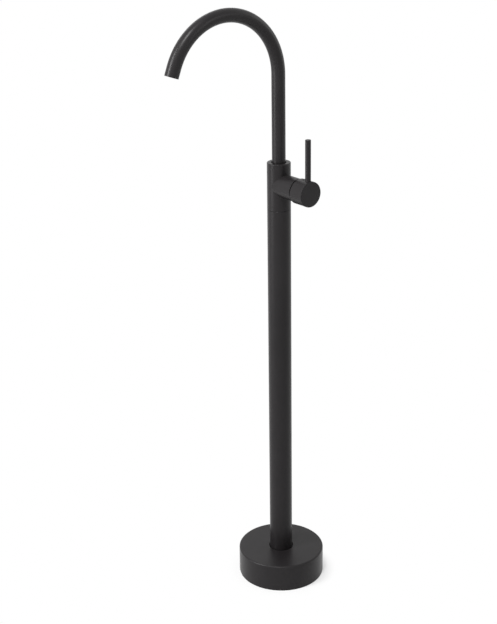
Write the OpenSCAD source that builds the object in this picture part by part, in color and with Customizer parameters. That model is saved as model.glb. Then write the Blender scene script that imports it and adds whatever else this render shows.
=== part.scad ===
// Floor-standing basin mixer: heavy floor flange under a drum-shaped cover, plain column,
// mixer body with a side branch for the joystick cartridge, and a swivelling gooseneck spout.
// Millimetres. Origin on the floor at the column's axis, +Z up.
// The branch and its handle point along +X, the spout points along -Y.

/* [Floor flange and base cover] */
// Outside diameter of the drum-shaped cover
cover_d = 160; // [150:1:200]
// Height of the cover's top face above the floor
cover_h = 51; // [50:1:80]
// Thickness of the cover's side wall
cover_wall = 2; // [1.5:0.1:3]
// Thickness of the cover's top, which holds the column seal
cover_top_t = 4; // [3.5:0.1:6]
// Rounding of the cover's top edge
cover_edge = 1.2; // [0.5:0.1:1.8]
// Free height between the socket and the cover's top
cover_headroom = 3; // [1:0.5:6]
// Thickness of the rubber gasket under the cover's rim
gasket_t = 1.2; // [0.8:0.1:2]
// Width of the rubber gasket under the cover's rim
gasket_w = 5; // [3:0.5:8]
// Diameter of the steel floor flange
flange_d = 130; // [124:1:150]
// Thickness of the steel floor flange
flange_t = 10; // [8:0.5:14]
// Diameter of the circle that the floor anchors stand on
anchor_pcd = 105; // [92:1:114]
// Diameter of each anchor hole
anchor_hole_d = 9; // [6.5:0.5:11]
// Number of floor anchors
anchor_count = 4; // [3:1:6]
// Outside diameter of the upright socket that holds the column
socket_d = 62; // [56:1:72]
// Diameter of the grub screws in the socket
socket_screw_d = 6; // [5:0.5:8]
// Number of grub screws round the socket
socket_screw_count = 3; // [2:1:4]

/* [Column] */
// Outside diameter of the column and of the mixer body on it
column_d = 42; // [40.5:0.5:50]
// Wall thickness of the column tube
column_wall = 2; // [1.5:0.1:2.2]
// Height of the column's top edge above the floor
column_top = 727.5; // [500:0.5:900]
// Wall thickness of the nipple that joins column and body
nipple_wall = 2; // [1.5:0.1:2.2]
// Length of the nipple that goes into each of the two
nipple_depth = 20; // [16:0.5:24]
// Chamfer on each side of the seams
seam_edge = 0.4; // [0.2:0.1:0.8]

/* [Mixer body] */
// Height of the mixer body from the column to its top ring
body_h = 85; // [82:0.5:110]
// Height of the branch's axis above the body's lower edge
branch_up = 44.5; // [43.5:0.5:50]
// Length of the branch from the column's axis
branch_l = 52; // [51.5:0.5:75]
// How much narrower the branch is than the barrel
branch_step = 0.6; // [0.2:0.1:2]
// Diameter of the cold and hot waterways
inlet_bore_d = 7; // [5:0.5:8]
// Diameter of the mixed water's way up to the spout
mixed_bore_d = 9; // [7:0.5:10]
// Depth of the socket for the spout
spout_socket_l = 27; // [26:0.5:30]
// Depth of the wide mouth that holds the slide ring
mouth_l = 11; // [10:0.5:11.5]

/* [Hoses] */
// Outside diameter of the two inlet hoses
hose_d = 11.5; // [9:0.5:12]
// Bore of the two inlet hoses
hose_bore_d = 7; // [5:0.5:7.5]
// Width across flats of the hose nuts
hose_nut_af = 18; // [17:0.5:19]
// Length of the hose nuts
hose_nut_l = 13.2; // [12:0.2:16]
// Inside diameter of the hose nuts' thread
hose_thread_d = 14.95; // [12:0.05:15.5]
// Outside diameter of the tails screwed into the body
hose_tail_d = 10; // [9:0.5:10.5]
// Length of the tails screwed into the body
hose_tail_l = 9; // [7:0.5:10]

/* [Cartridge] */
// Diameter of the cartridge
cartridge_d = 35; // [34:0.1:35.5]
// Thickness of the port plate at the pocket's floor
plate_t = 6; // [5:0.1:7]
// Thickness of each ceramic disc
disc_t = 3; // [2.5:0.1:3.5]
// Diameter of the fixed ceramic disc
fixed_disc_d = 31; // [28:0.1:32]
// Diameter of the sliding ceramic disc
moving_disc_d = 21.6; // [20.5:0.1:22.4]
// Thickness of the carrier on the sliding disc
carrier_t = 6; // [5.5:0.1:6.5]
// Diameter of the ball on the stem's inner end
ball_d = 6; // [5:0.1:6.4]
// Distance from the ball's centre to the tilt axis
ball_arm = 13; // [12:0.1:14]
// Diameter of the turning spindle's neck
neck_d = 24; // [22:0.1:25]
// Thickness of the spindle's flange
spindle_flange_t = 5; // [4:0.1:5.5]
// Diameter of the pin that the stem tilts on
stem_pin_d = 3; // [2:0.1:3.5]
// Width of the square stem
stem_w = 8; // [7:0.1:8.4]
// Length of the ring nut that holds the cartridge
ring_nut_l = 7; // [5:0.1:8]

/* [Handle] */
// How much wider the hub is than the branch
hub_step = 3.8; // [3:0.1:8]
// Distance from the branch's end to the hub's front face
hub_l = 32.5; // [31:0.5:45]
// Wall thickness of the hub's open rear skirt
hub_wall = 2; // [1.4:0.1:2.2]
// Depth of the hub's rear hollow
hub_hollow_l = 9.5; // [8.5:0.1:11]
// Gap between branch and hub at the top
gap_top = 2.2; // [0.5:0.1:2.6]
// Gap between branch and hub at the bottom
gap_bottom = 5.2; // [2.8:0.1:6]
// Rounding of the hub's front edge
hub_edge = 0.5; // [0.2:0.1:1.5]
// Diameter of the lever pin
lever_d = 10; // [8:0.5:11]
// Height of the lever pin above the hub
lever_h = 72.5; // [40:0.5:110]
// Distance of the lever pin's axis behind the hub's front face
lever_inset = 7.2; // [6:0.1:7.5]
// Depth of the hub's hole that takes the lever pin
lever_seat = 10; // [8:0.5:12]
// Diameter of the lever pin's threaded tail
lever_tail_d = 6; // [4:0.5:7]
// Diameter of the grub screw that clamps the stem
hub_screw_d = 5; // [3:0.5:6]
// Length of the grub screw that clamps the stem
hub_screw_l = 10; // [6:0.5:14]

/* [Spout] */
// Outside diameter of the spout tube
spout_d = 24; // [22:0.5:25.5]
// Wall thickness of the spout tube
spout_wall = 1.5; // [1:0.1:2]
// Straight height of the spout above the body's top ring
riser_h = 155; // [80:1:300]
// Radius of the gooseneck's bend at the tube's axis
bend_r = 112.5; // [70:0.5:160]
// Angle that the gooseneck turns through
bend_deg = 159; // [120:1:180]
// Length of the outlet sleeve at the end of the bend
outlet_l = 16; // [15.5:0.5:30]
// Wall thickness of the outlet sleeve round the aerator
outlet_wall = 1.9; // [1.4:0.1:2.4]
// Length of the aerator
aerator_l = 10.5; // [9:0.5:12]
// Diameter of the water holes in the aerator
aerator_hole_d = 2.2; // [1.4:0.1:2.4]
// Thickness of the spout's two sealing rings
spout_ring_t = 1.9; // [1.4:0.1:2.1]
// Wall thickness of the slide ring round the spout
slide_ring_t = 1.4; // [1:0.1:1.6]
// Diameter of the screw that keeps the spout in its socket
lock_screw_d = 4; // [3:0.1:4.4]

/* [Hidden] */
$fn = 72;

// Clearances
seat_gap = 0.05;   // round pieces that sit still in their seats
run_gap = 0.08;    // round pieces that turn or slide in each other
face_gap = 0.02;   // flat faces that slide on each other
screw_gap = 0.03;  // screws in their threads
cut = 1;           // how far a cutting tool runs past a face

// Colours
matte_black = [0.13, 0.13, 0.135];
steel = [0.62, 0.63, 0.65];
brass = [0.78, 0.62, 0.33];
rubber = [0.07, 0.07, 0.07];
white_ceramic = [0.93, 0.93, 0.90];
white_plastic = [0.90, 0.90, 0.88];
grey_plastic = [0.45, 0.47, 0.50];

// Column and hoses
column_r = column_d / 2;
column_in_r = column_r - column_wall;
nipple_r = column_in_r - seat_gap;
nipple_bore_r = nipple_r - nipple_wall;
hose_r = hose_d / 2;
ferrule_r = hose_r + 0.35;
ferrule_l = 14;
hose_space = 0.35;
hose_offset = nipple_bore_r - ferrule_r - hose_space;
hose_nut_r = hose_nut_af / 2 / cos(30);
hose_nut_z = 0.8;
hose_nut_top = hose_nut_z + hose_nut_l;
hose_neck_r = hose_bore_d / 2 + 0.9;
hose_collar_z = hose_nut_top - 5;
hose_collar_t = 1.9;
hose_washer_t = 1.5;
snap_ring_z = hose_collar_z + hose_collar_t + seat_gap;
snap_ring_t = 1.8;
nut_relief = 0.2;
nut_relief_z = hose_collar_z - hose_washer_t - 0.3;

// Floor flange
ledge_gap = 1;
ledge_t = 3;
ledge_z = hose_nut_top + ledge_gap;
column_seat_z = ledge_z + ledge_t;
hose_opening_r = hose_offset + hose_nut_r + 1;
ledge_bore_r = nipple_bore_r + 0.5;
socket_top = cover_h - cover_top_t - cover_headroom;
socket_bore_r = column_r + seat_gap;
socket_screw_z = (column_seat_z + socket_top) / 2;

// Seal between cover and column
seal_w = 1.7;
seal_t = 1.8;
seal_recess = 0.7;
seal_r = column_r + seat_gap;
cover_hole_r = seal_r + seal_w + seat_gap;
seal_z = cover_h - seal_recess - seal_t;

// Tube of the spout and its socket
spout_r = spout_d / 2;
spout_in_r = spout_r - spout_wall;
spout_socket_r = spout_r + run_gap;

// Mixer body
body_top = column_top + body_h;
axis_z = column_top + branch_up;
branch_r = column_r - branch_step / 2;
nipple_ceiling = column_top + nipple_depth;
inlet_up = 4;
mixed_down = 9;

// Cartridge: lengths are counted along the branch from the pocket's floor
cartridge_r = cartridge_d / 2;
pocket_r = cartridge_r + 0.1;
disc_bottom = plate_t + disc_t + face_gap;
carrier_bottom = disc_bottom + disc_t;
ball_depth = 1.5;
carrier_top = carrier_bottom + carrier_t;
ball_s = carrier_top - ball_depth;
pivot_s = ball_s + ball_arm;
spindle_bottom = carrier_top + 1;
spindle_shoulder = spindle_bottom + spindle_flange_t;
housing_shoulder = spindle_shoulder + 0.3;
housing_in_r = cartridge_r - 1.2;
neck_r = neck_d / 2;
housing_neck_r = neck_r + run_gap + 2.4;
pocket_wall = 1.92;   // between the pocket's floor and the spout's socket
pocket_x = spout_socket_r + pocket_wall;
pocket_l = branch_l - pocket_x;
nut_recess = 1;       // from the ring nut's face to the branch's end
nut_s = pocket_l - nut_recess - ring_nut_l;
neck_end = nut_s + 6.5;
housing_neck_end = nut_s + 5;
nut_r = cartridge_r + 0.75;
pivot_x = pocket_x + pivot_s;
inlet_port = [-3.5, 5.5];
inlet_port_r = 2.2;
outlet_port = [3.5, 0];
outlet_port_r = 2.6;

// Handle
hub_r = branch_r + hub_step / 2;
hub_x = branch_l + hub_l;
hub_hollow_x = branch_l + hub_hollow_l;
lever_x = hub_x - lever_inset;
lever_seat_z = axis_z + hub_r - lever_seat;
lever_tail_l = 8;
stem_end_gap = 0.4;
stem_end_x = lever_x - lever_d / 2 - 1;
hub_screw_x = (hub_hollow_x + stem_end_x) / 2;

// Spout's foot and outlet
slide_ring_r = spout_socket_r + slide_ring_t;
mouth_r = slide_ring_r + seat_gap;
mouth_z = body_top - mouth_l;
slide_ring_top = body_top - 3;
spout_floor_z = body_top - spout_socket_l;
shank_z = spout_floor_z + 0.3;
shank_top = body_top - 4;
shank_bore_r = spout_r - 4;
spigot_l = 8;
lock_z = mouth_z - 3.5;
ring_low_z = shank_z + 3.2;
ring_high_z = ring_low_z + 4.5;
groove_w = spout_ring_t + 0.3;
bend_z = body_top + riser_h;
outlet_spigot_l = 6;
spigot_gap = 0.2;   // a straight spigot in the end of a bent tube
aerator_r = spout_r - outlet_wall - seat_gap;
aerator_recess = 1;
washer_t = 1.5;
aerator_s = outlet_l - aerator_recess - aerator_l;

// A solid of revolution with small chamfers at its two ends
module turned_rod(r, h, low_edge, high_edge) {
  rotate_extrude()
    polygon([
      [0, 0], [r - low_edge, 0], [r, low_edge],
      [r, h - high_edge], [r - high_edge, h], [0, h]
    ]);
}

// A disc or drum whose upper edge is rounded
module rounded_drum(r, h, edge) {
  rotate_extrude()
    union() {
      square([r - edge, h]);
      square([r, h - edge]);
      translate([r - edge, h - edge]) circle(edge);
    }
}

// A flat ring standing on z = 0
module ring(outer_r, inner_r, h) {
  difference() {
    cylinder(h = h, r = outer_r);
    translate([0, 0, -cut]) cylinder(h = h + 2 * cut, r = inner_r);
  }
}

// A rubber ring of round section, centred on z = 0
module o_ring(mid_r, t) {
  rotate_extrude() translate([mid_r, 0]) circle(t / 2, $fn = 36);
}

// A grub screw along +Z with a hexagon socket in its upper end
module grub_screw(d, l) {
  difference() {
    turned_rod(d / 2, l, 0.3, 0.2);
    translate([0, 0, l - d * 0.45]) cylinder(h = d, r = d * 0.28, $fn = 6);
  }
}

// Puts children on the branch: their +Z runs out along the branch's axis,
// their +X points down, and z = 0 is the floor of the cartridge pocket
module at_pocket() {
  translate([pocket_x, 0, axis_z]) rotate([0, 90, 0]) children();
}

// Puts children at the end of the gooseneck's bend: their +Z is the way the water leaves
module at_outlet() {
  translate([0, -bend_r, bend_z]) rotate([bend_deg, 0, 0]) translate([0, bend_r, 0]) children();
}

// A slot with round ends through a plate, from one point to another along X or Y
module port_slot(a, b, r, h) {
  size = [abs(a[0] - b[0]), abs(a[1] - b[1])];
  translate([a[0], a[1], 0]) cylinder(h = h, r = r);
  translate([b[0], b[1], 0]) cylinder(h = h, r = r);
  translate([(a[0] + b[0]) / 2, (a[1] + b[1]) / 2, h / 2])
    cube([size[0] > size[1] ? size[0] : 2 * r, size[0] > size[1] ? 2 * r : size[1], h], center = true);
}

// Steel plate on the floor with an upright socket for the column
module floor_flange() {
  color(steel)
  difference() {
    union() {
      rounded_drum(flange_d / 2, flange_t, 1);
      turned_rod(socket_d / 2, socket_top, 0.5, 1);
      translate([0, 0, flange_t])
        cylinder(h = 5, r1 = socket_d / 2 + 5, r2 = socket_d / 2);
    }
    translate([0, 0, -cut]) cylinder(h = ledge_z + cut, r = hose_opening_r);
    translate([0, 0, -cut]) cylinder(h = socket_top, r = ledge_bore_r);
    translate([0, 0, column_seat_z]) cylinder(h = socket_top, r = socket_bore_r);
    for (i = [0 : anchor_count - 1])
      rotate([0, 0, 45 + i * 360 / anchor_count])
        translate([anchor_pcd / 2, 0, -cut])
          cylinder(h = flange_t + 2 * cut, d = anchor_hole_d);
    for (i = [0 : socket_screw_count - 1])
      rotate([0, 0, 90 + i * 360 / socket_screw_count])
        translate([column_in_r, 0, socket_screw_z])
          rotate([0, 90, 0]) cylinder(h = socket_d, d = socket_screw_d + 2 * screw_gap);
  }
}

// Grub screws that clamp the column in the socket
module socket_grub_screws() {
  color(steel)
  for (i = [0 : socket_screw_count - 1])
    rotate([0, 0, 90 + i * 360 / socket_screw_count])
      translate([column_r + seat_gap, 0, socket_screw_z])
        rotate([0, 90, 0])
          grub_screw(socket_screw_d, socket_d / 2 - column_r - 0.6);
}

// Drum-shaped cover that slides down the column over the flange
module base_cover() {
  color(matte_black)
  difference() {
    translate([0, 0, gasket_t]) rounded_drum(cover_d / 2, cover_h - gasket_t, cover_edge);
    translate([0, 0, gasket_t - cut])
      cylinder(h = cover_h - cover_top_t - gasket_t + cut, r = cover_d / 2 - cover_wall);
    translate([0, 0, -cut]) cylinder(h = cover_h + 2 * cut, r = column_r + 0.6);
    translate([0, 0, seal_z]) cylinder(h = cover_h, r = cover_hole_r);
  }
}

// Rubber ring that closes the gap between cover and column
module cover_seal() {
  color(rubber)
  translate([0, 0, seal_z]) ring(seal_r + seal_w, seal_r, seal_t);
}

// Rubber gasket between the cover's rim and the floor
module base_gasket() {
  color(rubber)
  ring(cover_d / 2 - 0.6, cover_d / 2 - 0.6 - gasket_w, gasket_t);
}

// Column: one plain tube from the socket up to the mixer body
module column_tube() {
  color(matte_black)
  difference() {
    translate([0, 0, column_seat_z])
      turned_rod(column_r, column_top - column_seat_z, seam_edge, seam_edge);
    cylinder(h = column_top + cut, r = column_in_r);
  }
}

// Threaded nipple that joins the column and the mixer body
module column_nipple() {
  color(brass)
  difference() {
    translate([0, 0, column_top - nipple_depth])
      turned_rod(nipple_r, 2 * nipple_depth, 0.5, 0.5);
    translate([0, 0, column_top - nipple_depth - cut])
      cylinder(h = 2 * (nipple_depth + cut), r = nipple_bore_r);
    translate([0, 0, column_top + nipple_depth * 0.6 - 0.8])
      ring(nipple_r + cut, nipple_r - 1, 1.6);
  }
}

// Sealing ring in the nipple's groove
module nipple_o_ring() {
  color(rubber)
  translate([0, 0, column_top + nipple_depth * 0.6]) o_ring(nipple_r - 0.45, 0.9);
}

// Mixer body: barrel on the column, branch with the cartridge pocket, and the waterways
module mixer_body() {
  color(matte_black)
  difference() {
    union() {
      translate([0, 0, column_top]) turned_rod(column_r, body_h, seam_edge, 0.5);
      translate([0, 0, axis_z]) rotate([0, 90, 0]) turned_rod(branch_r, branch_l, seam_edge, 0.4);
    }
    translate([0, 0, column_top - cut]) cylinder(h = nipple_depth + cut, r = column_in_r);
    for (side = [-1, 1]) {
      translate([0, side * hose_offset, nipple_ceiling - cut])
        cylinder(h = hose_tail_l + cut + 0.5, r = hose_tail_d / 2 + screw_gap);
      translate([0, side * hose_offset, nipple_ceiling])
        cylinder(h = axis_z + inlet_up - nipple_ceiling, d = inlet_bore_d);
      translate([0, side * hose_offset, axis_z + inlet_up]) sphere(d = inlet_bore_d);
      translate([0, side * hose_offset, axis_z + inlet_up])
        rotate([0, 90, 0]) cylinder(h = pocket_x + cut, d = inlet_bore_d);
    }
    translate([0, 0, axis_z - mixed_down]) cylinder(h = spout_floor_z + cut - axis_z + mixed_down, d = mixed_bore_d);
    translate([0, 0, axis_z - mixed_down]) sphere(d = mixed_bore_d);
    translate([0, 0, axis_z - mixed_down])
      rotate([0, 90, 0]) cylinder(h = pocket_x + cut, d = mixed_bore_d);
    translate([0, 0, spout_floor_z]) cylinder(h = spout_socket_l + cut, r = spout_socket_r);
    translate([0, 0, mouth_z]) cylinder(h = mouth_l + cut, r = mouth_r);
    translate([0, spout_r - 1, lock_z])
      rotate([-90, 0, 0]) cylinder(h = column_r, d = lock_screw_d + 2 * screw_gap);
    at_pocket() cylinder(h = pocket_l + cut, r = pocket_r);
    at_pocket() translate([0, 0, nut_s]) cylinder(h = pocket_l, r = nut_r + seat_gap);
  }
}

// Hose inside the column, with its crimped ferrules, upper tail and lower collar
module hose(side) {
  top = nipple_ceiling;
  color(grey_plastic)
  translate([0, side * hose_offset, 0])
    difference() {
      union() {
        translate([0, 0, hose_nut_top + 0.4]) cylinder(h = top - hose_nut_top - 7, r = hose_r);
        translate([0, 0, hose_nut_top + 0.4]) turned_rod(ferrule_r, ferrule_l, 0.4, 0.4);
        translate([0, 0, top - 6.4 - ferrule_l]) turned_rod(ferrule_r, ferrule_l, 0.4, 0.4);
        translate([0, 0, top - 6.5]) cylinder(h = 6.3, r = ferrule_r, $fn = 6);
        translate([0, 0, top - 1]) turned_rod(hose_tail_d / 2, hose_tail_l + 1, 0.2, 0.8);
        translate([0, 0, hose_collar_z]) cylinder(h = hose_nut_top + 1 - hose_collar_z, r = hose_neck_r);
        translate([0, 0, hose_collar_z]) cylinder(h = hose_collar_t, r = hose_thread_d / 2 - 0.4);
      }
      translate([0, 0, -cut]) cylinder(h = top + hose_tail_l + 3, d = hose_bore_d - 1);
    }
}

module hot_hose() {
  hose(-1);
}

module cold_hose() {
  hose(1);
}

// Hexagon nut on the hose's lower end, bored through, with a relief for collar and snap ring
module hose_nut(side) {
  relief_top = snap_ring_z + snap_ring_t + seat_gap;
  color(brass)
  translate([0, side * hose_offset, 0])
    difference() {
      translate([0, 0, hose_nut_z]) cylinder(h = hose_nut_l, r = hose_nut_r, $fn = 6);
      translate([0, 0, hose_nut_z - cut]) cylinder(h = hose_nut_l + 2 * cut, d = hose_thread_d);
      translate([0, 0, nut_relief_z])
        cylinder(h = relief_top - nut_relief_z, r = hose_thread_d / 2 + nut_relief);
    }
}

module hot_hose_nut() {
  hose_nut(-1);
}

module cold_hose_nut() {
  hose_nut(1);
}

// Flat fibre washers under the hoses' lower collars
module hose_washers() {
  color(rubber)
  for (side = [-1, 1])
    translate([0, side * hose_offset, hose_collar_z - hose_washer_t])
      ring(hose_thread_d / 2 - 0.2, hose_bore_d / 2, hose_washer_t);
}

// Split steel rings in the nuts' reliefs, which pull the hoses' collars down
module hose_snap_rings() {
  outer_r = hose_thread_d / 2 + nut_relief - seat_gap;
  color(steel)
  for (side = [-1, 1])
    translate([0, side * hose_offset, snap_ring_z])
      difference() {
        ring(outer_r, hose_neck_r + seat_gap, snap_ring_t);
        translate([0, -1, -cut]) cube([2 * outer_r, 2, snap_ring_t + 2 * cut]);
      }
}

// Plate at the pocket's floor that brings the two inlets and the outlet to the discs
module cartridge_port_plate() {
  color(white_plastic)
  at_pocket()
  difference() {
    cylinder(h = plate_t, r = cartridge_r - 0.2);
    for (side = [-1, 1]) {
      translate([-inlet_up, side * hose_offset, -cut]) cylinder(h = plate_t / 2 + 2 * cut, d = inlet_bore_d - 1);
      translate([-inlet_up, side * hose_offset, -cut]) cylinder(h = 1.8 + cut, r = inlet_bore_d / 2 + 1.1);
      translate([0, 0, plate_t / 2])
        port_slot([inlet_port[0], side * inlet_port[1]], [inlet_port[0], side * hose_offset],
          inlet_port_r, plate_t);
    }
    translate([mixed_down, 0, -cut]) cylinder(h = plate_t / 2 + 2 * cut, d = mixed_bore_d - 1);
    translate([mixed_down, 0, -cut]) cylinder(h = 1.8 + cut, r = mixed_bore_d / 2 + 1.1);
    translate([0, 0, plate_t / 2])
      port_slot(outlet_port, [mixed_down, 0], outlet_port_r, plate_t);
  }
}

// Three rubber rings between the port plate and the pocket's floor
module port_seals() {
  color(rubber)
  at_pocket() {
    for (side = [-1, 1])
      translate([-inlet_up, side * hose_offset, 0.9]) o_ring(inlet_bore_d / 2 + 0.15, 1.76);
    translate([mixed_down, 0, 0.9]) o_ring(mixed_bore_d / 2 + 0.15, 1.76);
  }
}

// Fixed ceramic disc with its two inlets and one outlet
module fixed_disc() {
  color(white_ceramic)
  at_pocket()
  translate([0, 0, plate_t])
    difference() {
      cylinder(h = disc_t, d = fixed_disc_d);
      for (side = [-1, 1])
        translate([inlet_port[0], side * inlet_port[1], -cut])
          cylinder(h = disc_t + 2 * cut, r = inlet_port_r);
      translate([outlet_port[0], outlet_port[1], -cut]) cylinder(h = disc_t + 2 * cut, r = outlet_port_r);
    }
}

// Sliding ceramic disc with the mixing chamber in its rear face
module moving_disc() {
  color(white_ceramic)
  at_pocket()
  translate([0, 0, disc_bottom])
    difference() {
      cylinder(h = disc_t, d = moving_disc_d);
      translate([outlet_port[0], 0, -cut]) cylinder(h = cut + 1.2, r = 4.2);
      translate([0, 0, disc_t - 0.9]) cylinder(h = 2, r = 3 + seat_gap);
    }
}

// Carrier on the sliding disc, driven by the stem's ball
module disc_carrier() {
  color(grey_plastic)
  at_pocket()
  difference() {
    union() {
      intersection() {
        translate([0, 0, carrier_bottom]) cylinder(h = carrier_t, d = moving_disc_d);
        translate([-moving_disc_d, -moving_disc_d / 2 + 2, 0])
          cube([2 * moving_disc_d, moving_disc_d - 4, pocket_l]);
      }
      translate([0, 0, carrier_bottom - 0.8]) cylinder(h = 2, r = 3);
    }
    translate([0, 0, ball_s - ball_d / 2 - 0.3]) cylinder(h = carrier_t, r = ball_d / 2 + 0.2);
  }
}

// Housing of the cartridge: it holds the discs and is the bearing of the spindle
module cartridge_housing() {
  color(white_plastic)
  at_pocket()
  difference() {
    union() {
      translate([0, 0, plate_t]) cylinder(h = nut_s - plate_t, r = cartridge_r);
      translate([0, 0, nut_s - 1]) cylinder(h = housing_neck_end - nut_s + 1, r = housing_neck_r);
    }
    translate([0, 0, plate_t - cut]) cylinder(h = housing_shoulder - plate_t + cut, r = housing_in_r);
    cylinder(h = pocket_l, r = neck_r + run_gap);
  }
}

// Turning spindle: fork round the disc carrier, flange, and neck with the slot for the stem
module cartridge_spindle() {
  fork_in = moving_disc_d / 2 - 2 + 0.2;
  color(grey_plastic)
  at_pocket()
  difference() {
    union() {
      translate([0, 0, carrier_bottom + 0.5])
        cylinder(h = spindle_shoulder - carrier_bottom - 0.5, r = housing_in_r - 0.3);
      cylinder(h = neck_end, r = neck_r);
    }
    translate([-cartridge_d, -cartridge_d, -cut])
      cube([2 * cartridge_d, 2 * cartridge_d, carrier_bottom + 0.5 + cut]);
    translate([-cartridge_d, -fork_in, 0]) cube([2 * cartridge_d, 2 * fork_in, spindle_bottom]);
    translate([-stem_w / 2 - 3.6, -stem_w / 2 - 0.15, 0]) cube([stem_w + 7.2, stem_w + 0.3, pocket_l]);
    translate([0, 0, pivot_s])
      rotate([90, 0, 0]) cylinder(h = cartridge_d, d = stem_pin_d + 2 * screw_gap, center = true);
  }
}

// Steel pin across the spindle that the stem tilts on
module stem_pin() {
  color(steel)
  at_pocket()
  translate([0, 0, pivot_s])
    rotate([90, 0, 0]) cylinder(h = neck_d - 0.8, d = stem_pin_d, center = true);
}

// Stem: ball in the disc carrier, bore on the pin, and square end in the hub
module cartridge_stem() {
  color(brass)
  at_pocket()
  difference() {
    union() {
      translate([0, 0, ball_s]) sphere(d = ball_d);
      translate([0, 0, ball_s]) cylinder(h = pivot_s - ball_s, r = 2.2);
      translate([-stem_w / 2, -stem_w / 2, pivot_s - stem_w / 2])
        cube([stem_w, stem_w, stem_end_x - stem_end_gap - pocket_x - pivot_s + stem_w / 2]);
    }
    translate([0, 0, pivot_s])
      rotate([90, 0, 0]) cylinder(h = 2 * stem_w, d = stem_pin_d + 2 * run_gap, center = true);
  }
}

// Ring nut that presses the cartridge into its pocket, with four spanner slots
module cartridge_ring_nut() {
  color(brass)
  at_pocket()
  translate([0, 0, nut_s])
    difference() {
      turned_rod(nut_r, ring_nut_l, 0.4, 0.4);
      translate([0, 0, -cut]) cylinder(h = ring_nut_l + 2 * cut, r = housing_neck_r + 0.2);
      for (i = [0 : 3])
        rotate([0, 0, 45 + 90 * i]) translate([housing_neck_r - 1, -1.5, ring_nut_l - 2])
          cube([nut_r, 3, 4]);
    }
}

// Hub of the handle: its slanted rear edge leaves the wedge gap that lets it tilt
module handle_hub() {
  back_len = hub_x - branch_l;
  slant = atan((gap_bottom - gap_top) / (2 * hub_r));
  color(matte_black)
  difference() {
    translate([branch_l, 0, axis_z]) rotate([0, 90, 0]) rounded_drum(hub_r, back_len, hub_edge);
    translate([branch_l - cut, 0, axis_z])
      rotate([0, 90, 0]) cylinder(h = hub_hollow_l + cut, r = hub_r - hub_wall);
    translate([branch_l + (gap_top + gap_bottom) / 2, 0, axis_z])
      rotate([0, slant, 0])
        translate([-back_len, -2 * hub_r, -2 * hub_r]) cube([back_len, 4 * hub_r, 4 * hub_r]);
    translate([hub_hollow_x - cut, -stem_w / 2 - seat_gap, axis_z - stem_w / 2 - seat_gap])
      cube([stem_end_x - hub_hollow_x + cut, stem_w + 2 * seat_gap, stem_w + 2 * seat_gap]);
    translate([lever_x, 0, lever_seat_z]) cylinder(h = hub_r, r = lever_d / 2 + seat_gap);
    translate([lever_x, 0, lever_seat_z - lever_tail_l - 0.5])
      cylinder(h = hub_r, r = lever_tail_d / 2 + screw_gap);
    translate([hub_screw_x, 0, axis_z]) cylinder(h = 2 * hub_r, r = hub_screw_d / 2 + screw_gap);
  }
}

// Grub screw behind the lever pin that clamps the hub on the stem
module hub_grub_screw() {
  color(steel)
  translate([hub_screw_x, 0, axis_z + stem_w / 2 + seat_gap]) grub_screw(hub_screw_d, hub_screw_l);
}

// Lever pin with its threaded tail
module lever_pin() {
  color(matte_black) {
    translate([lever_x, 0, lever_seat_z])
      rounded_drum(lever_d / 2, lever_seat + lever_h, 0.6);
    translate([lever_x, 0, lever_seat_z - lever_tail_l])
      turned_rod(lever_tail_d / 2, lever_tail_l + 1, 0.5, 0.2);
  }
}

// Spout tube: straight riser and gooseneck bend
module spout_path(r, low_z, past_deg) {
  translate([0, 0, low_z]) cylinder(h = bend_z - low_z, r = r);
  translate([0, -bend_r, bend_z])
    rotate([90, 0, 90])
      rotate_extrude(angle = bend_deg + past_deg) translate([bend_r, 0]) circle(r);
}

module spout_tube() {
  color(matte_black)
  difference() {
    spout_path(spout_r, shank_top, 0);
    spout_path(spout_in_r, shank_top - cut, 2);
  }
}

// Turned foot of the spout, with grooves for its sealing rings and the lock screw
module spout_shank() {
  color(brass)
  difference() {
    union() {
      translate([0, 0, shank_z]) turned_rod(spout_r, shank_top - shank_z, 0.8, 0.2);
      translate([0, 0, shank_top - cut]) turned_rod(spout_in_r - seat_gap, spigot_l + cut, 0.2, 0.5);
    }
    translate([0, 0, shank_z - cut]) cylinder(h = spout_socket_l + spigot_l + 2 * cut, r = shank_bore_r);
    for (z = [ring_low_z, ring_high_z])
      translate([0, 0, z - groove_w / 2])
        ring(spout_r + cut, spout_socket_r - 0.06 - spout_ring_t, groove_w);
    translate([0, 0, lock_z - 1.5]) ring(spout_r + cut, spout_r - 1.5, 3);
  }
}

// Two sealing rings on the spout's foot
module spout_o_rings() {
  color(rubber)
  for (z = [ring_low_z, ring_high_z])
    translate([0, 0, z]) o_ring(spout_socket_r - 0.03 - spout_ring_t / 2, spout_ring_t);
}

// Plastic ring that guides the spout in the body's mouth
module spout_slide_ring() {
  color(grey_plastic)
  translate([0, 0, mouth_z]) ring(slide_ring_r, spout_socket_r, slide_ring_top - mouth_z);
}

// Screw with a dog point that keeps the spout in its socket
module spout_lock_screw() {
  color(steel)
  translate([0, spout_socket_r + 0.5, lock_z])
    rotate([-90, 0, 0]) {
      grub_screw(lock_screw_d, column_r - spout_socket_r - 1.5);
      translate([0, 0, -1.5]) cylinder(h = 2, r = 1.1);
    }
}

// Sleeve at the end of the bend that holds the aerator
module outlet_sleeve() {
  color(matte_black)
  at_outlet()
  difference() {
    union() {
      turned_rod(spout_r, outlet_l, 0.3, 0.3);
      translate([0, 0, -outlet_spigot_l])
        turned_rod(spout_in_r - spigot_gap, outlet_spigot_l + 1, 0.5, 0.2);
    }
    translate([0, 0, -outlet_spigot_l - cut]) cylinder(h = outlet_l + outlet_spigot_l, r = shank_bore_r);
    translate([0, 0, aerator_s - washer_t]) cylinder(h = outlet_l, r = aerator_r + seat_gap);
  }
}

// Rubber washer behind the aerator
module aerator_washer() {
  color(rubber)
  at_outlet() translate([0, 0, aerator_s - washer_t]) ring(aerator_r - 0.2, shank_bore_r - 1, washer_t);
}

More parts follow.
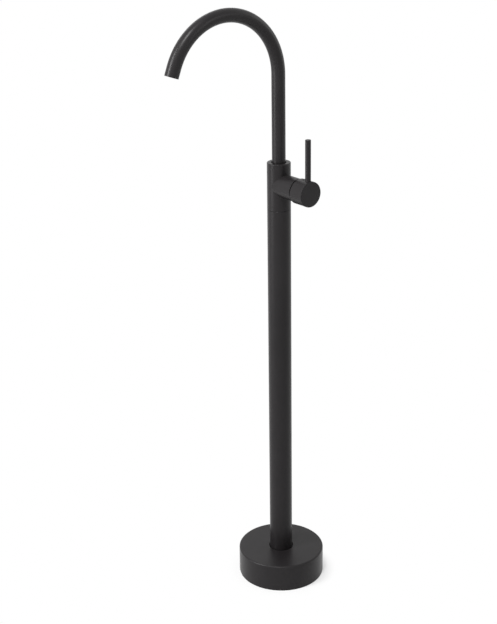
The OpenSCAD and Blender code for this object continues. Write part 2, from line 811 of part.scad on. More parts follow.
// Aerator with its water holes and the notches for its key
module aerator() {
  pitch = aerator_hole_d + 1;
  color(grey_plastic)
  at_outlet()
  translate([0, 0, aerator_s])
    difference() {
      turned_rod(aerator_r, aerator_l, 0.3, 0.3);
      translate([0, 0, -cut]) cylinder(h = aerator_l - 3 + cut, r = aerator_r - 2);
      translate([0, 0, aerator_l - 1.5]) cylinder(h = 3, r = aerator_r - 1.6);
      cylinder(h = aerator_l, d = aerator_hole_d);
      for (i = [0 : 5])
        rotate([0, 0, 60 * i]) translate([pitch, 0, 0]) cylinder(h = aerator_l, d = aerator_hole_d);
      for (i = [0 : 11])
        rotate([0, 0, 30 * i + 15]) translate([1.93 * pitch, 0, 0]) cylinder(h = aerator_l, d = aerator_hole_d);
      for (i = [0 : 3])
        rotate([0, 0, 90 * i]) translate([aerator_r - 2, -1, aerator_l - 1.2]) cube([4, 2, 4]);
    }
}

floor_flange();
socket_grub_screws();
base_cover();
cover_seal();
base_gasket();
column_tube();
column_nipple();
nipple_o_ring();
mixer_body();
hot_hose();
cold_hose();
hot_hose_nut();
cold_hose_nut();
hose_washers();
hose_snap_rings();
cartridge_port_plate();
port_seals();
fixed_disc();
moving_disc();
disc_carrier();
cartridge_housing();
cartridge_spindle();
stem_pin();
cartridge_stem();
cartridge_ring_nut();
handle_hub();
hub_grub_screw();
lever_pin();
spout_tube();
spout_shank();
spout_o_rings();
spout_slide_ring();
spout_lock_screw();
outlet_sleeve();
aerator_washer();
aerator();
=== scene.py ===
import math

import bmesh
import bpy
from mathutils import Matrix, Vector


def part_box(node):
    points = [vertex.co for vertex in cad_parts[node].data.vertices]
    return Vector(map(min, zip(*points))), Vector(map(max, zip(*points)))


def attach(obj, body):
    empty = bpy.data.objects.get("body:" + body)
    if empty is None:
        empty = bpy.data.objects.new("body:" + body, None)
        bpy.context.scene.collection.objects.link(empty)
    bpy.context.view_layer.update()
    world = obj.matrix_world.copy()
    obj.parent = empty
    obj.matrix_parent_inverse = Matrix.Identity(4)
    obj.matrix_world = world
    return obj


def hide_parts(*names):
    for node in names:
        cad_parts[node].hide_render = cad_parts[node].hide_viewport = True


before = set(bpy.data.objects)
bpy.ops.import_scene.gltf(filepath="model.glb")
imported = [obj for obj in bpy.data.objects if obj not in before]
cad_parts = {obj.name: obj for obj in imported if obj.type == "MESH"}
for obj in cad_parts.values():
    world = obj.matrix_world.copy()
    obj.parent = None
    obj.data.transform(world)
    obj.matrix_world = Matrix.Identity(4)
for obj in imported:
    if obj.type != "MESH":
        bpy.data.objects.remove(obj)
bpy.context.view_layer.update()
scene = bpy.context.scene


# Camera. It stands a third of a metre above the spout's top, turned between spout and
# handle, and looks down at the mixer. The picture is 497 x 624 pixels, so its long side
# is the height, and a small shift sets the mixer's place in the frame.
camera_azimuth = math.radians(50.10)
camera_distance = 2.2597
camera_height = 1.4313
camera_pitch = math.radians(18.634)
camera_yaw = math.radians(-1.387)
camera_roll = math.radians(0.792)

camera_data = bpy.data.cameras.new("camera")
camera = bpy.data.objects.new("camera", camera_data)
scene.collection.objects.link(camera)
camera_data.sensor_width = 36.0
camera_data.lens = 77.4
camera_data.shift_y = -0.1152
camera_data.clip_start = 0.05
camera_data.clip_end = 60.0
camera.matrix_world = (
    Matrix.Rotation(camera_azimuth, 4, "Z")
    @ Matrix.Translation((0.0, -camera_distance, camera_height))
    @ Matrix.Rotation(-camera_yaw, 4, "Z")
    @ Matrix.Rotation(math.pi / 2 - camera_pitch, 4, "X")
    @ Matrix.Rotation(-camera_roll, 4, "Z")
)
scene.camera = camera


# Floor flange: a thick turned steel plate with an upright socket, anchored to the floor
# under the cover. It keeps its CAD form and gets zinc-plated, finely turned steel.
def new_material(name):
    """Starts a material and gives its nodes, and the place on the piece in metres."""
    material = bpy.data.materials.new(name)
    material.use_nodes = True
    nodes = material.node_tree.nodes
    links = material.node_tree.links
    shader = nodes["Principled BSDF"]
    place = nodes.new("ShaderNodeTexCoord").outputs["Object"]
    return material, nodes, links, shader, place


def add_noise(nodes, links, place, scale, detail, stretch=(1, 1, 1)):
    """Gives a noise on the piece; stretch makes it finer or coarser along X, Y and Z."""
    mapping = nodes.new("ShaderNodeMapping")
    mapping.inputs["Scale"].default_value = stretch
    noise = nodes.new("ShaderNodeTexNoise")
    noise.inputs["Scale"].default_value = scale
    noise.inputs["Detail"].default_value = detail
    links.new(place, mapping.inputs["Vector"])
    links.new(mapping.outputs["Vector"], noise.inputs["Vector"])
    return noise.outputs["Fac"]


def drive_roughness(nodes, links, factor, shader, low, high):
    """Spreads a noise over a range of roughness; most of it lies between 0.3 and 0.7."""
    spread = nodes.new("ShaderNodeMapRange")
    spread.inputs["From Min"].default_value = 0.3
    spread.inputs["From Max"].default_value = 0.7
    spread.inputs["To Min"].default_value = low
    spread.inputs["To Max"].default_value = high
    links.new(factor, spread.inputs["Value"])
    links.new(spread.outputs["Result"], shader.inputs["Roughness"])


def drive_colour(nodes, links, factor, shader, dark, light):
    """Blends from the dark to the light tone across the middle of the factor's range."""
    ramp = nodes.new("ShaderNodeValToRGB")
    dark_end, light_end = ramp.color_ramp.elements
    dark_end.position = 0.35
    dark_end.color = (*dark, 1)
    light_end.position = 0.65
    light_end.color = (*light, 1)
    links.new(factor, ramp.inputs["Fac"])
    links.new(ramp.outputs["Color"], shader.inputs["Base Color"])


def drive_bump(nodes, links, factor, shader, strength, depth):
    """Shows the factor as fine relief, with its depth in metres."""
    bump = nodes.new("ShaderNodeBump")
    bump.inputs["Strength"].default_value = strength
    bump.inputs["Distance"].default_value = depth
    links.new(factor, bump.inputs["Height"])
    links.new(bump.outputs["Normal"], shader.inputs["Normal"])


def turned_metal(name, dark, light, roughness):
    """Metal with the lathe's fine rings round the upright axis, and faint stains."""
    gloss_spread = 0.06
    material, nodes, links, shader, place = new_material(name)
    shader.inputs["Metallic"].default_value = 1.0
    rings = add_noise(nodes, links, place, scale=260, detail=3, stretch=(0.15, 0.15, 6))
    stains = add_noise(nodes, links, place, scale=45, detail=4)
    drive_colour(nodes, links, stains, shader, dark, light)
    drive_roughness(nodes, links, rings, shader, roughness - gloss_spread, roughness + gloss_spread)
    drive_bump(nodes, links, rings, shader, strength=0.15, depth=0.0001)
    return material


def dress(node, material):
    """Gives a node that keeps its CAD form its material."""
    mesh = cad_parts[node].data
    mesh.materials.clear()
    mesh.materials.append(material)


plated_steel = turned_metal(
    "plated_steel", dark=(0.50, 0.51, 0.53), light=(0.62, 0.63, 0.65), roughness=0.32
)
dress("floor_flange", plated_steel)


# Socket grub screws: three hexagon-socket screws that clamp the column in the flange.
# They keep their CAD form, in black-oxide steel.
oxide_steel = turned_metal(
    "oxide_steel", dark=(0.05, 0.05, 0.055), light=(0.09, 0.09, 0.095), roughness=0.38
)
dress("socket_grub_screws", oxide_steel)


# Base gasket: a flat black rubber ring between the cover's rim and the floor. It shows as
# a thin dark line, set back a little from the cover's edge, and keeps its CAD form.
def black_rubber(name, grain):
    """Deep black with a pebbled skin of the given grain and a faint dull bloom."""
    material, nodes, links, shader, place = new_material(name)
    shader.inputs["Specular IOR Level"].default_value = 0.08
    skin = add_noise(nodes, links, place, scale=grain, detail=3)
    bloom = add_noise(nodes, links, place, scale=55, detail=4)
    drive_colour(nodes, links, bloom, shader, dark=(0.005, 0.005, 0.005), light=(0.009, 0.009, 0.009))
    drive_roughness(nodes, links, skin, shader, low=0.62, high=0.78)
    drive_bump(nodes, links, skin, shader, strength=0.2, depth=0.0001)
    return material


gasket_rubber = black_rubber("gasket_rubber", grain=700)
dress("base_gasket", gasket_rubber)


# Base cover: a spun steel drum, open below, with a softly rounded upper edge and a rimmed
# hole for the column. Its outline is spun round the column's axis, and it has the mixer's
# matte black powder coat: a fine orange peel, slightly uneven in gloss.
def powder_coat(name):
    darker_coat = (0.0130, 0.0116, 0.0124)
    lighter_coat = (0.0158, 0.0143, 0.0152)
    material, nodes, links, shader, place = new_material(name)
    shader.inputs["Specular IOR Level"].default_value = 0.195
    peel = add_noise(nodes, links, place, scale=620, detail=1)
    haze = add_noise(nodes, links, place, scale=38, detail=4)
    tone = add_noise(nodes, links, place, scale=14, detail=3)
    drive_colour(nodes, links, tone, shader, darker_coat, lighter_coat)
    drive_roughness(nodes, links, haze, shader, low=0.32, high=0.37)
    drive_bump(nodes, links, peel, shader, strength=0.04, depth=0.00003)
    return material


def round_corner(corner, radius, height, rounding, steps):
    """Gives the quarter arc that rounds one corner of an outline."""
    start_deg, side, up = {
        "lower outer": (-90, -1, 1),
        "upper outer": (0, -1, -1),
        "upper inner": (90, 1, -1),
    }[corner]
    points = []
    for step in range(steps + 1):
        angle = math.radians(start_deg + 90 * step / steps)
        points.append((
            radius + side * rounding + rounding * math.cos(angle),
            height + up * rounding + rounding * math.sin(angle),
        ))
    return points


def spin_outline(outline, steps, closed=True):
    """Turns an outline of (radius, height) points once round the Z axis."""
    same_point = 0.000002
    turned = bmesh.new()
    corners = [turned.verts.new((radius, 0.0, height)) for radius, height in outline]
    ends = corners[1:] + corners[:1] if closed else corners[1:]
    edges = [turned.edges.new(pair) for pair in zip(corners, ends)]
    bmesh.ops.spin(
        turned, geom=corners + edges, cent=(0, 0, 0), axis=(0, 0, 1), dvec=(0, 0, 0),
        angle=2 * math.pi, steps=steps, use_merge=True, use_duplicate=False,
    )
    bmesh.ops.remove_doubles(turned, verts=turned.verts, dist=same_point)
    bmesh.ops.recalc_face_normals(turned, faces=turned.faces)
    return turned


def fit_piece(name, shape, material, body, slot, *replaced):
    """Makes a finished piece of a bmesh, with even shading up to its crisp edges."""
    crisp_angle = math.radians(42)
    mesh = bpy.data.meshes.new(name)
    shape.to_mesh(mesh)
    shape.free()
    mesh.materials.append(material)
    mesh.shade_smooth()
    mesh.set_sharp_from_angle(angle=crisp_angle)
    piece = bpy.data.objects.new(name, mesh)
    scene.collection.objects.link(piece)
    even = piece.modifiers.new("even_shading", "WEIGHTED_NORMAL")
    even.keep_sharp = True
    even.weight = 100
    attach(piece, body)
    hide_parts(*replaced)


matte_black = powder_coat("matte_black_coat")

cover_low, cover_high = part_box("base_cover")
cover_r = (cover_high[0] - cover_low[0]) / 2
cover_edge = 0.0028
cover_fine_edge = 0.0004
cover_wall = 0.002
cover_top_t = 0.004
cover_hole_r = 0.0228
cover_ledge_r = 0.0216
cover_ledge_depth = 0.0025
cover_inner_r = cover_r - cover_wall
cover_inner_z = cover_high[2] - cover_top_t
cover_ledge_z = cover_high[2] - cover_ledge_depth
cover_outline = [
    *round_corner("lower outer", cover_r, cover_low[2], cover_fine_edge, steps=3),
    *round_corner("upper outer", cover_r, cover_high[2], cover_edge, steps=7),
    *round_corner("upper inner", cover_hole_r, cover_high[2], cover_fine_edge, steps=3),
    (cover_hole_r, cover_ledge_z),
    (cover_ledge_r, cover_ledge_z),
    (cover_ledge_r, cover_inner_z),
    (cover_inner_r, cover_inner_z),
    (cover_inner_r, cover_low[2]),
]
fit_piece(
    "base_cover_drum", spin_outline(cover_outline, steps=160), matte_black,
    "stand", "matte_black", "base_cover",
)


# Cover seal: a black rubber ring in the cover's hole, round the column, with a rounded lip
# a little below the cover's top. Its section is spun round the column's axis.
seal_low, seal_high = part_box("cover_seal")
seal_wall = 0.0017
seal_lip = 0.0006
seal_outer_r = (seal_high[0] - seal_low[0]) / 2
seal_inner_r = seal_outer_r - seal_wall
seal_outline = [
    (seal_inner_r, seal_low[2]),
    (seal_outer_r, seal_low[2]),
    *round_corner("upper outer", seal_outer_r, seal_high[2], seal_lip, steps=5),
    *round_corner("upper inner", seal_inner_r, seal_high[2], seal_lip, steps=5),
]
ring_rubber = black_rubber("ring_rubber", grain=900)
fit_piece(
    "cover_seal_ring", spin_outline(seal_outline, steps=128), ring_rubber,
    "stand", "rubber", "cover_seal",
)


# Column: a plain welded and ground steel tube, powder coated. Its ends have the small
# chamfer that makes the thin dark seam under the mixer body.
column_low, column_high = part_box("column_tube")
column_r = (column_high[0] - column_low[0]) / 2
column_wall = 0.002
column_inner_r = column_r - column_wall
seam_edge = 0.0006
column_outline = [
    (column_inner_r, column_low[2]),
    (column_r - seam_edge, column_low[2]),
    (column_r, column_low[2] + seam_edge),
    (column_r, column_high[2] - seam_edge),
    (column_r - seam_edge, column_high[2]),
    (column_inner_r, column_high[2]),
]
fit_piece(
    "column", spin_outline(column_outline, steps=128), matte_black,
    "stand", "matte_black", "column_tube",
)


# Nipple and sealing ring: turned brass joint between column and mixer body. Both lie
# hidden in the tube and keep their CAD form.
turned_brass = turned_metal(
    "turned_brass", dark=(0.62, 0.43, 0.17), light=(0.74, 0.55, 0.25), roughness=0.27
)
dress("column_nipple", turned_brass)
dress("nipple_o_ring", ring_rubber)


# Hoses: two rubber hoses in a steel braid, with crimped ferrules, brass nuts, snap rings
# and flat washers. The braid is two crossing bands that run round the hose.
def steel_braid(name):
    hollow = (0.18, 0.18, 0.19)
    strand = (0.58, 0.59, 0.60)
    material, nodes, links, shader, place = new_material(name)
    shader.inputs["Metallic"].default_value = 0.85
    shader.inputs["Roughness"].default_value = 0.35
    weave = []
    for lean_deg in (35, -35):
        mapping = nodes.new("ShaderNodeMapping")
        mapping.inputs["Rotation"].default_value = (0, math.radians(lean_deg), 0)
        strands = nodes.new("ShaderNodeTexWave")
        strands.inputs["Scale"].default_value = 190
        strands.bands_direction = "Z"
        links.new(place, mapping.inputs["Vector"])
        links.new(mapping.outputs["Vector"], strands.inputs["Vector"])
        weave.append(strands.outputs["Fac"])
    crossing = nodes.new("ShaderNodeMath")
    crossing.operation = "MAXIMUM"
    links.new(weave[0], crossing.inputs[0])
    links.new(weave[1], crossing.inputs[1])
    drive_colour(nodes, links, crossing.outputs["Value"], shader, hollow, strand)
    drive_bump(nodes, links, crossing.outputs["Value"], shader, strength=0.4, depth=0.0003)
    return material


braid = steel_braid("steel_braid")
for hose in ("hot_hose", "cold_hose"):
    dress(hose, braid)
    dress(hose + "_nut", turned_brass)
dress("hose_washers", ring_rubber)
dress("hose_snap_rings", plated_steel)


# Mixer body: one brass casting, turned and powder coated. Barrel and branch are spun,
# joined, and the line where they meet gets the small fillet of the casting. The top is a
# plain ring with the wide mouth that the spout drops into.
body_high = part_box("mixer_body")[1]
body_top_z = body_high[2]
branch_end_x = body_high[0]
barrel_low_z = column_high[2]
ring_edge = 0.0012
mouth_r = 0.01353
mouth_edge = 0.0003
mouth_depth = 0.011
socket_r = 0.01208
socket_depth = 0.027
nipple_socket_depth = 0.020
mouth_floor_z = body_top_z - mouth_depth
socket_floor_z = body_top_z - socket_depth
nipple_ceiling_z = barrel_low_z + nipple_socket_depth
barrel_outline = [
    (column_inner_r, barrel_low_z),
    (column_r - seam_edge, barrel_low_z),
    (column_r, barrel_low_z + seam_edge),
    *round_corner("upper outer", column_r, body_top_z, ring_edge, steps=4),
    *round_corner("upper inner", mouth_r, body_top_z, mouth_edge, steps=2),
    (mouth_r, mouth_floor_z),
    (socket_r, mouth_floor_z),
    (socket_r, socket_floor_z),
    (0.0, socket_floor_z),
    (0.0, nipple_ceiling_z),
    (column_inner_r, nipple_ceiling_z),
]

branch_rise = 0.0445
branch_step = 0.0003
branch_edge = 0.0004
pocket_r = 0.0176
pocket_depth = 0.038
nut_seat_r = 0.0183
nut_seat_above_floor = 0.030
branch_z = barrel_low_z + branch_rise
branch_r = column_r - branch_step
pocket_floor_x = branch_end_x - pocket_depth
nut_seat_x = pocket_floor_x + nut_seat_above_floor
branch_outline = [
    (0.0, 0.0),
    (branch_r, 0.0),
    *round_corner("upper outer", branch_r, branch_end_x, branch_edge, steps=3),
    (nut_seat_r, branch_end_x),
    (nut_seat_r, nut_seat_x),
    (pocket_r, nut_seat_x),
    (pocket_r, pocket_floor_x),
    (0.0, pocket_floor_x),
]


def lay_on_branch_axis(shape):
    """Lays a shape that was spun round Z along X, at the branch's height."""
    to_x_axis = Matrix.Rotation(math.pi / 2, 3, "Y")
    bmesh.ops.rotate(shape, verts=shape.verts, cent=(0, 0, 0), matrix=to_x_axis)
    bmesh.ops.translate(shape, verts=shape.verts, vec=(0, 0, branch_z))


def as_object(name, shape):
    """Puts a bmesh into the scene as an object of its own."""
    mesh = bpy.data.meshes.new(name)
    shape.to_mesh(mesh)
    shape.free()
    made = bpy.data.objects.new(name, mesh)
    scene.collection.objects.link(made)
    return made


def join_shapes(first, second, operation):
    """Joins or cuts two closed shapes and gives the result as a bmesh."""
    base = as_object("base_shape", first)
    tool = as_object("tool_shape", second)
    joint = base.modifiers.new("joined", "BOOLEAN")
    joint.operation = operation
    joint.solver = "EXACT"
    joint.object = tool
    bpy.context.view_layer.update()
    result = bmesh.new()
    result.from_mesh(base.evaluated_get(bpy.context.evaluated_depsgraph_get()).data)
    for used in (base, tool):
        mesh = used.data
        bpy.data.objects.remove(used)
        bpy.data.meshes.remove(mesh)
    return result


weld_gap = 0.00002
branch = spin_outline(branch_outline, steps=128)
lay_on_branch_axis(branch)
mixer_shape = join_shapes(spin_outline(barrel_outline, steps=128), branch, "UNION")
bmesh.ops.remove_doubles(mixer_shape, verts=mixer_shape.verts, dist=weld_gap)


def on_saddle(vertex):
    """Tells whether a point lies on both skins, on the branch's side of the barrel."""
    skin_gap = 0.00006
    branch_side_x = 0.0005
    x, y, z = vertex.co
    off_barrel = abs(math.hypot(x, y) - column_r)
    off_branch = abs(math.hypot(y, z - branch_z) - branch_r)
    return x > branch_side_x and max(off_barrel, off_branch) < skin_gap


saddle_fillet = 0.0018
saddle_edges = [edge for edge in mixer_shape.edges if all(on_saddle(v) for v in edge.verts)]
bmesh.ops.bevel(
    mixer_shape, geom=saddle_edges, offset=saddle_fillet, affect="EDGES", segments=4,
    profile=0.5, material=-1, clamp_overlap=True,
)
fit_piece(
    "mixer_body_casting", mixer_shape, matte_black,
    "stand", "matte_black_brass", "mixer_body",
)


# Cartridge: acetal port plate, housing and spindle, lapped ceramic discs, rubber seals,
# brass stem, steel pin and brass ring nut. It lies in the branch and keeps its CAD form;
# only the ring nut can be seen, through the wedge gap.
def moulded_plastic(name, dark, light, roughness, specular=0.5):
    """Fine mould texture over faint flow streaks; ceramic has the same, only smoother."""
    gloss_spread = 0.05
    material, nodes, links, shader, place = new_material(name)
    shader.inputs["Specular IOR Level"].default_value = specular
    texture = add_noise(nodes, links, place, scale=520, detail=3)
    flow = add_noise(nodes, links, place, scale=30, detail=3)
    drive_colour(nodes, links, flow, shader, dark, light)
    drive_roughness(nodes, links, texture, shader, roughness - gloss_spread, roughness + gloss_spread)
    drive_bump(nodes, links, texture, shader, strength=0.12, depth=0.00008)
    return material


white_acetal = moulded_plastic(
    "white_acetal", dark=(0.74, 0.74, 0.71), light=(0.80, 0.80, 0.77), roughness=0.42
)
grey_acetal = moulded_plastic(
    "grey_acetal", dark=(0.16, 0.17, 0.18), light=(0.21, 0.22, 0.23), roughness=0.45
)
lapped_ceramic = moulded_plastic(
    "lapped_ceramic", dark=(0.80, 0.78, 0.72), light=(0.85, 0.83, 0.78), roughness=0.18
)
for node in ("cartridge_port_plate", "cartridge_housing"):
    dress(node, white_acetal)
for node in ("disc_carrier", "cartridge_spindle"):
    dress(node, grey_acetal)
for node in ("fixed_disc", "moving_disc"):
    dress(node, lapped_ceramic)
for node in ("cartridge_stem", "cartridge_ring_nut"):
    dress(node, turned_brass)
dress("port_seals", ring_rubber)
dress("stem_pin", plated_steel)


# Handle hub: a turned brass drum with a flat face and a crisp, finely broken front edge.
# The rear is hollow and cut on a slant, which leaves the wedge gap to the branch. A round
# hole takes the lever pin, and a small one behind it the grub screw.
hub_low, hub_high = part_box("handle_hub")
hub_r = (hub_high[2] - hub_low[2]) / 2
hub_front_x = hub_high[0]
hub_edge = 0.0005
hub_wall = 0.002
hub_hollow_l = 0.0095
slant_spare = 0.002
gap_top = 0.0022
gap_bottom = 0.0052
hub_bore_r = hub_r - hub_wall
hub_hollow_x = branch_end_x + hub_hollow_l
blank_end_x = branch_end_x - slant_spare
hub_outline = [
    (0.0, hub_hollow_x),
    (hub_bore_r, hub_hollow_x),
    (hub_bore_r, blank_end_x),
    (hub_r, blank_end_x),
    *round_corner("upper outer", hub_r, hub_front_x, hub_edge, steps=4),
    (0.0, hub_front_x),
]
hub_shape = spin_outline(hub_outline, steps=128, closed=False)
lay_on_branch_axis(hub_shape)

slant_tolerance = 0.000001
slant = math.atan((gap_bottom - gap_top) / (2 * hub_r))
slant_middle = (branch_end_x + (gap_top + gap_bottom) / 2, 0, branch_z)
slant_normal = (-math.cos(slant), 0, math.sin(slant))
whole_hub = hub_shape.verts[:] + hub_shape.edges[:] + hub_shape.faces[:]
slant_cut = bmesh.ops.bisect_plane(
    hub_shape, geom=whole_hub, dist=slant_tolerance, plane_co=slant_middle,
    plane_no=slant_normal, clear_outer=True,
)
rim = [item for item in slant_cut["geom_cut"] if isinstance(item, bmesh.types.BMEdge)]
bmesh.ops.bridge_loops(hub_shape, edges=rim)
bmesh.ops.recalc_face_normals(hub_shape, faces=hub_shape.faces)

lever_low, lever_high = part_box("lever_pin")
lever_x = (lever_low[0] + lever_high[0]) / 2
lever_r = (lever_high[0] - lever_low[0]) / 2
lever_clearance = 0.00005
lever_seat_depth = 0.010
lever_seat_z = branch_z + hub_r - lever_seat_depth
screw_low, screw_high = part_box("hub_grub_screw")
screw_x = (screw_low[0] + screw_high[0]) / 2
screw_r = (screw_high[0] - screw_low[0]) / 2
screw_clearance = 0.00003


def upright_drill(x, radius, low_z):
    """A closed rod at x that stands on low_z and reaches well out of the hub."""
    high_z = branch_z + 2 * hub_r
    drill_outline = [(0, low_z), (radius, low_z), (radius, high_z), (0, high_z)]
    drill = spin_outline(drill_outline, steps=48, closed=False)
    bmesh.ops.translate(drill, verts=drill.verts, vec=(x, 0, 0))
    return drill


lever_drill = upright_drill(lever_x, lever_r + lever_clearance, lever_seat_z)
screw_drill = upright_drill(screw_x, screw_r + screw_clearance, screw_low[2])
for drill in (lever_drill, screw_drill):
    hub_shape = join_shapes(hub_shape, drill, "DIFFERENCE")
bmesh.ops.remove_doubles(hub_shape, verts=hub_shape.verts, dist=weld_gap)
fit_piece("hub", hub_shape, matte_black, "handle", "matte_black_brass", "handle_hub")
dress("hub_grub_screw", oxide_steel)


# Lever pin: a turned rod screwed into the hub, with a flat top and a finely rounded edge.
# It is spun round its own axis and coated like the hub.
lever_edge = 0.0008
lever_outline = [
    (0.0, lever_seat_z),
    (lever_r, lever_seat_z),
    *round_corner("upper outer", lever_r, lever_high[2], lever_edge, steps=5),
    (0.0, lever_high[2]),
]
lever_shape = spin_outline(lever_outline, steps=72, closed=False)
bmesh.ops.translate(lever_shape, verts=lever_shape.verts, vec=(lever_x, 0, 0))
fit_piece("lever", lever_shape, matte_black, "handle", "matte_black_brass", "lever_pin")


# Spout tube: one drawn brass tube, bent on a mandrel to a gooseneck. A ring is extruded up
# the riser and spun round the bend, and the wall is given its thickness inwards.
spout_low, spout_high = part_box("spout_tube")
spout_foot_z = spout_low[2]
spout_r = (spout_high[0] - spout_low[0]) / 2
spout_wall = 0.0015
riser_l = 0.155
bend_r = 0.1125
bend_deg = 159.0
bend_z = body_top_z + riser_l
spout_shape = bmesh.new()
foot_ring = bmesh.ops.create_circle(spout_shape, segments=128, radius=spout_r, cap_ends=False)
bmesh.ops.translate(spout_shape, verts=foot_ring["verts"], vec=(0, 0, spout_foot_z))
raised = bmesh.ops.extrude_edge_only(spout_shape, edges=spout_shape.edges[:])
top_verts = [item for item in raised["geom"] if isinstance(item, bmesh.types.BMVert)]
raised_edges = [item for item in raised["geom"] if isinstance(item, bmesh.types.BMEdge)]
bmesh.ops.translate(spout_shape, verts=top_verts, vec=(0, 0, bend_z - spout_foot_z))
bend_ring = [edge for edge in raised_edges if all(v in top_verts for v in edge.verts)]
bmesh.ops.spin(
    spout_shape, geom=top_verts + bend_ring, cent=(0, -bend_r, bend_z), axis=(1, 0, 0),
    dvec=(0, 0, 0), angle=math.radians(bend_deg), steps=200, use_merge=False, use_duplicate=False,
)
bmesh.ops.recalc_face_normals(spout_shape, faces=spout_shape.faces)
bmesh.ops.solidify(spout_shape, geom=spout_shape.faces[:], thickness=spout_wall)
fit_piece("spout", spout_shape, matte_black, "spout", "matte_black_brass", "spout_tube")


# Spout foot: turned brass shank with two sealing rings, held in the body's socket by a
# slide ring and a lock screw. It keeps its CAD form; the slide ring is black acetal, with its
# colour darkened past the plastic's own as painted shade for the deep gap round the spout's foot.
# Painted shade: the slide ring's near-black colour stands for the shade deep in the gap between spout
# and mouth.
black_acetal_with_gap_shade = moulded_plastic(
    "black_acetal_with_gap_shade", dark=(0.004, 0.004, 0.004), light=(0.006, 0.006, 0.006), roughness=0.6,
    specular=0.05,
)
dress("spout_shank", turned_brass)
dress("spout_o_rings", ring_rubber)
dress("spout_slide_ring", black_acetal_with_gap_shade)
dress("spout_lock_screw", oxide_steel)


# Outlet sleeve: a short turned sleeve pressed on the end of the bend, coated like the
# tube, with the fine seam between them. The aerator sits in it a millimetre deep.
outlet_l = 0.016
outlet_wall = 0.0019
outlet_edge = 0.0004
outlet_fine_edge = 0.0003
outlet_web_r = 0.008
outlet_web_t = 0.003
aerator_seat_r = spout_r - outlet_wall
sleeve_outline = [
    (aerator_seat_r, outlet_web_t),
    (outlet_web_r, outlet_web_t),
    (outlet_web_r, 0.0),
    *round_corner("lower outer", spout_r, 0.0, outlet_fine_edge, steps=2),
    *round_corner("upper outer", spout_r, outlet_l, outlet_edge, steps=3),
    *round_corner("upper inner", aerator_seat_r, outlet_l, outlet_fine_edge, steps=2),
]
outlet_place = (
    Matrix.Translation((0, -bend_r, bend_z))
    @ Matrix.Rotation(math.radians(bend_deg), 4, "X")
    @ Matrix.Translation((0, bend_r, 0))
)
sleeve_shape = spin_outline(sleeve_outline, steps=64)
bmesh.ops.transform(sleeve_shape, matrix=outlet_place, verts=sleeve_shape.verts)
fit_piece("outlet", sleeve_shape, matte_black, "spout", "matte_black_brass", "outlet_sleeve")


# Aerator: a moulded cartridge with a screen of round holes and four key notches, behind a
# rubber washer. It keeps its CAD form, in dark grey acetal.
dark_acetal = moulded_plastic(
    "dark_acetal", dark=(0.030, 0.031, 0.033), light=(0.042, 0.043, 0.045), roughness=0.4
)
dress("aerator", dark_acetal)
dress("aerator_washer", ring_rubber)


# Floor: a plain pale studio sheet. Its own colour carries the shadow close to the base,
# and further out camera, gloss and glass see it blend into the white background.
def add_seen_rays(nodes, links):
    """Gives 1 for the rays that show the background: camera, gloss and glass."""
    rays = nodes.new("ShaderNodeLightPath")
    glossy_too = nodes.new("ShaderNodeMath")
    glossy_too.operation = "MAXIMUM"
    glass_too = nodes.new("ShaderNodeMath")
    glass_too.operation = "MAXIMUM"
    links.new(rays.outputs["Is Camera Ray"], glossy_too.inputs[0])
    links.new(rays.outputs["Is Glossy Ray"], glossy_too.inputs[1])
    links.new(glossy_too.outputs["Value"], glass_too.inputs[0])
    links.new(rays.outputs["Is Transmission Ray"], glass_too.inputs[1])
    return glass_too.outputs["Value"]


def studio_sheet(name, fade_start_r, fade_end_r):
    """Pale sheet that shows its shadow near the base and fades to white further out."""
    material, nodes, links, shader, place = new_material(name)
    shader.inputs["Roughness"].default_value = 0.9
    shader.inputs["Specular IOR Level"].default_value = 0.1
    fibre = add_noise(nodes, links, place, scale=3, detail=2)
    drive_colour(nodes, links, fibre, shader, dark=(0.93, 0.93, 0.93), light=(0.95, 0.95, 0.95))
    from_axis = nodes.new("ShaderNodeVectorMath")
    from_axis.operation = "LENGTH"
    fade = nodes.new("ShaderNodeMapRange")
    fade.interpolation_type = "SMOOTHSTEP"
    fade.inputs["From Min"].default_value = fade_start_r
    fade.inputs["From Max"].default_value = fade_end_r
    share = nodes.new("ShaderNodeMath")
    share.operation = "MULTIPLY"
    backdrop = nodes.new("ShaderNodeEmission")
    blend = nodes.new("ShaderNodeMixShader")
    links.new(place, from_axis.inputs[0])
    links.new(from_axis.outputs["Value"], fade.inputs["Value"])
    links.new(fade.outputs["Result"], share.inputs[0])
    links.new(add_seen_rays(nodes, links), share.inputs[1])
    links.new(share.outputs["Value"], blend.inputs["Fac"])
    links.new(shader.outputs["BSDF"], blend.inputs[1])
    links.new(backdrop.outputs["Emission"], blend.inputs[2])
    links.new(blend.outputs["Shader"], nodes["Material Output"].inputs["Surface"])
    return material


floor_half_width = 14.0
floor_shape = bmesh.new()
bmesh.ops.create_grid(floor_shape, x_segments=1, y_segments=1, size=floor_half_width)
floor = as_object("studio_floor", floor_shape)
floor.data.materials.append(studio_sheet("pale_floor", fade_start_r=0.05, fade_end_r=0.108))


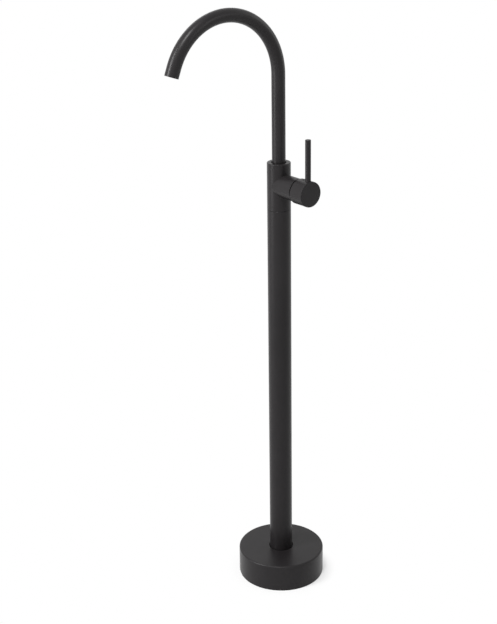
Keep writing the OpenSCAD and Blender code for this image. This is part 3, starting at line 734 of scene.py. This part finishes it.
# Studio light: a tall soft box at the camera's left with a low one below it, a small one
# high in front, a weak box at the right, and faint ones behind the mixer and in front at
# the right. They stay where they are in the room, whatever the view.
def soft_box(name, azimuth_deg, distance, height, width, tall, power):
    """Hangs a soft box at an angle counted from the camera, aimed at the column."""
    data = bpy.data.lights.new(name, "AREA")
    data.shape = "RECTANGLE"
    data.size = width
    data.size_y = tall
    data.energy = power
    box = bpy.data.objects.new(name, data)
    turn = camera_azimuth + math.radians(azimuth_deg)
    box.location = (distance * math.sin(turn), -distance * math.cos(turn), height)
    aim = aim_point - Vector(box.location)
    box.rotation_euler = aim.to_track_quat("-Z", "Y").to_euler()
    scene.collection.objects.link(box)


aim_point = Vector((0, 0, 0.6))
soft_box("key_box", azimuth_deg=-62, distance=2.2, height=1.7, width=0.6, tall=1.6, power=58.5)
soft_box("left_box", azimuth_deg=-70, distance=2.2, height=0.45, width=0.5, tall=0.8, power=7.7)
soft_box("rear_box", azimuth_deg=-155, distance=2.2, height=1.9, width=1.4, tall=0.8, power=4.6)
soft_box("side_box", azimuth_deg=112, distance=2.8, height=1.4, width=0.7, tall=2.2, power=8.5)
soft_box("top_box", azimuth_deg=-20, distance=1.2, height=2.8, width=0.3, tall=0.5, power=30.8)
soft_box("front_box", azimuth_deg=62, distance=1.8, height=1.6, width=0.6, tall=0.8, power=3.9)


# Room: even white walls. They light the mixer weakly, and the rays that show the
# background see them as pure white.
def white_background(nodes, strength):
    background = nodes.new("ShaderNodeBackground")
    background.inputs["Color"].default_value = (1, 1, 1, 1)
    background.inputs["Strength"].default_value = strength
    return background.outputs["Background"]


world = bpy.data.worlds.new("studio")
scene.world = world
world.use_nodes = True
nodes = world.node_tree.nodes
links = world.node_tree.links
nodes.clear()
choice = nodes.new("ShaderNodeMixShader")
world_out = nodes.new("ShaderNodeOutputWorld")
links.new(add_seen_rays(nodes, links), choice.inputs["Fac"])
links.new(white_background(nodes, strength=0.17), choice.inputs[1])
links.new(white_background(nodes, strength=1.0), choice.inputs[2])
links.new(choice.outputs["Shader"], world_out.inputs["Surface"])

scene.view_settings.view_transform = "Standard"
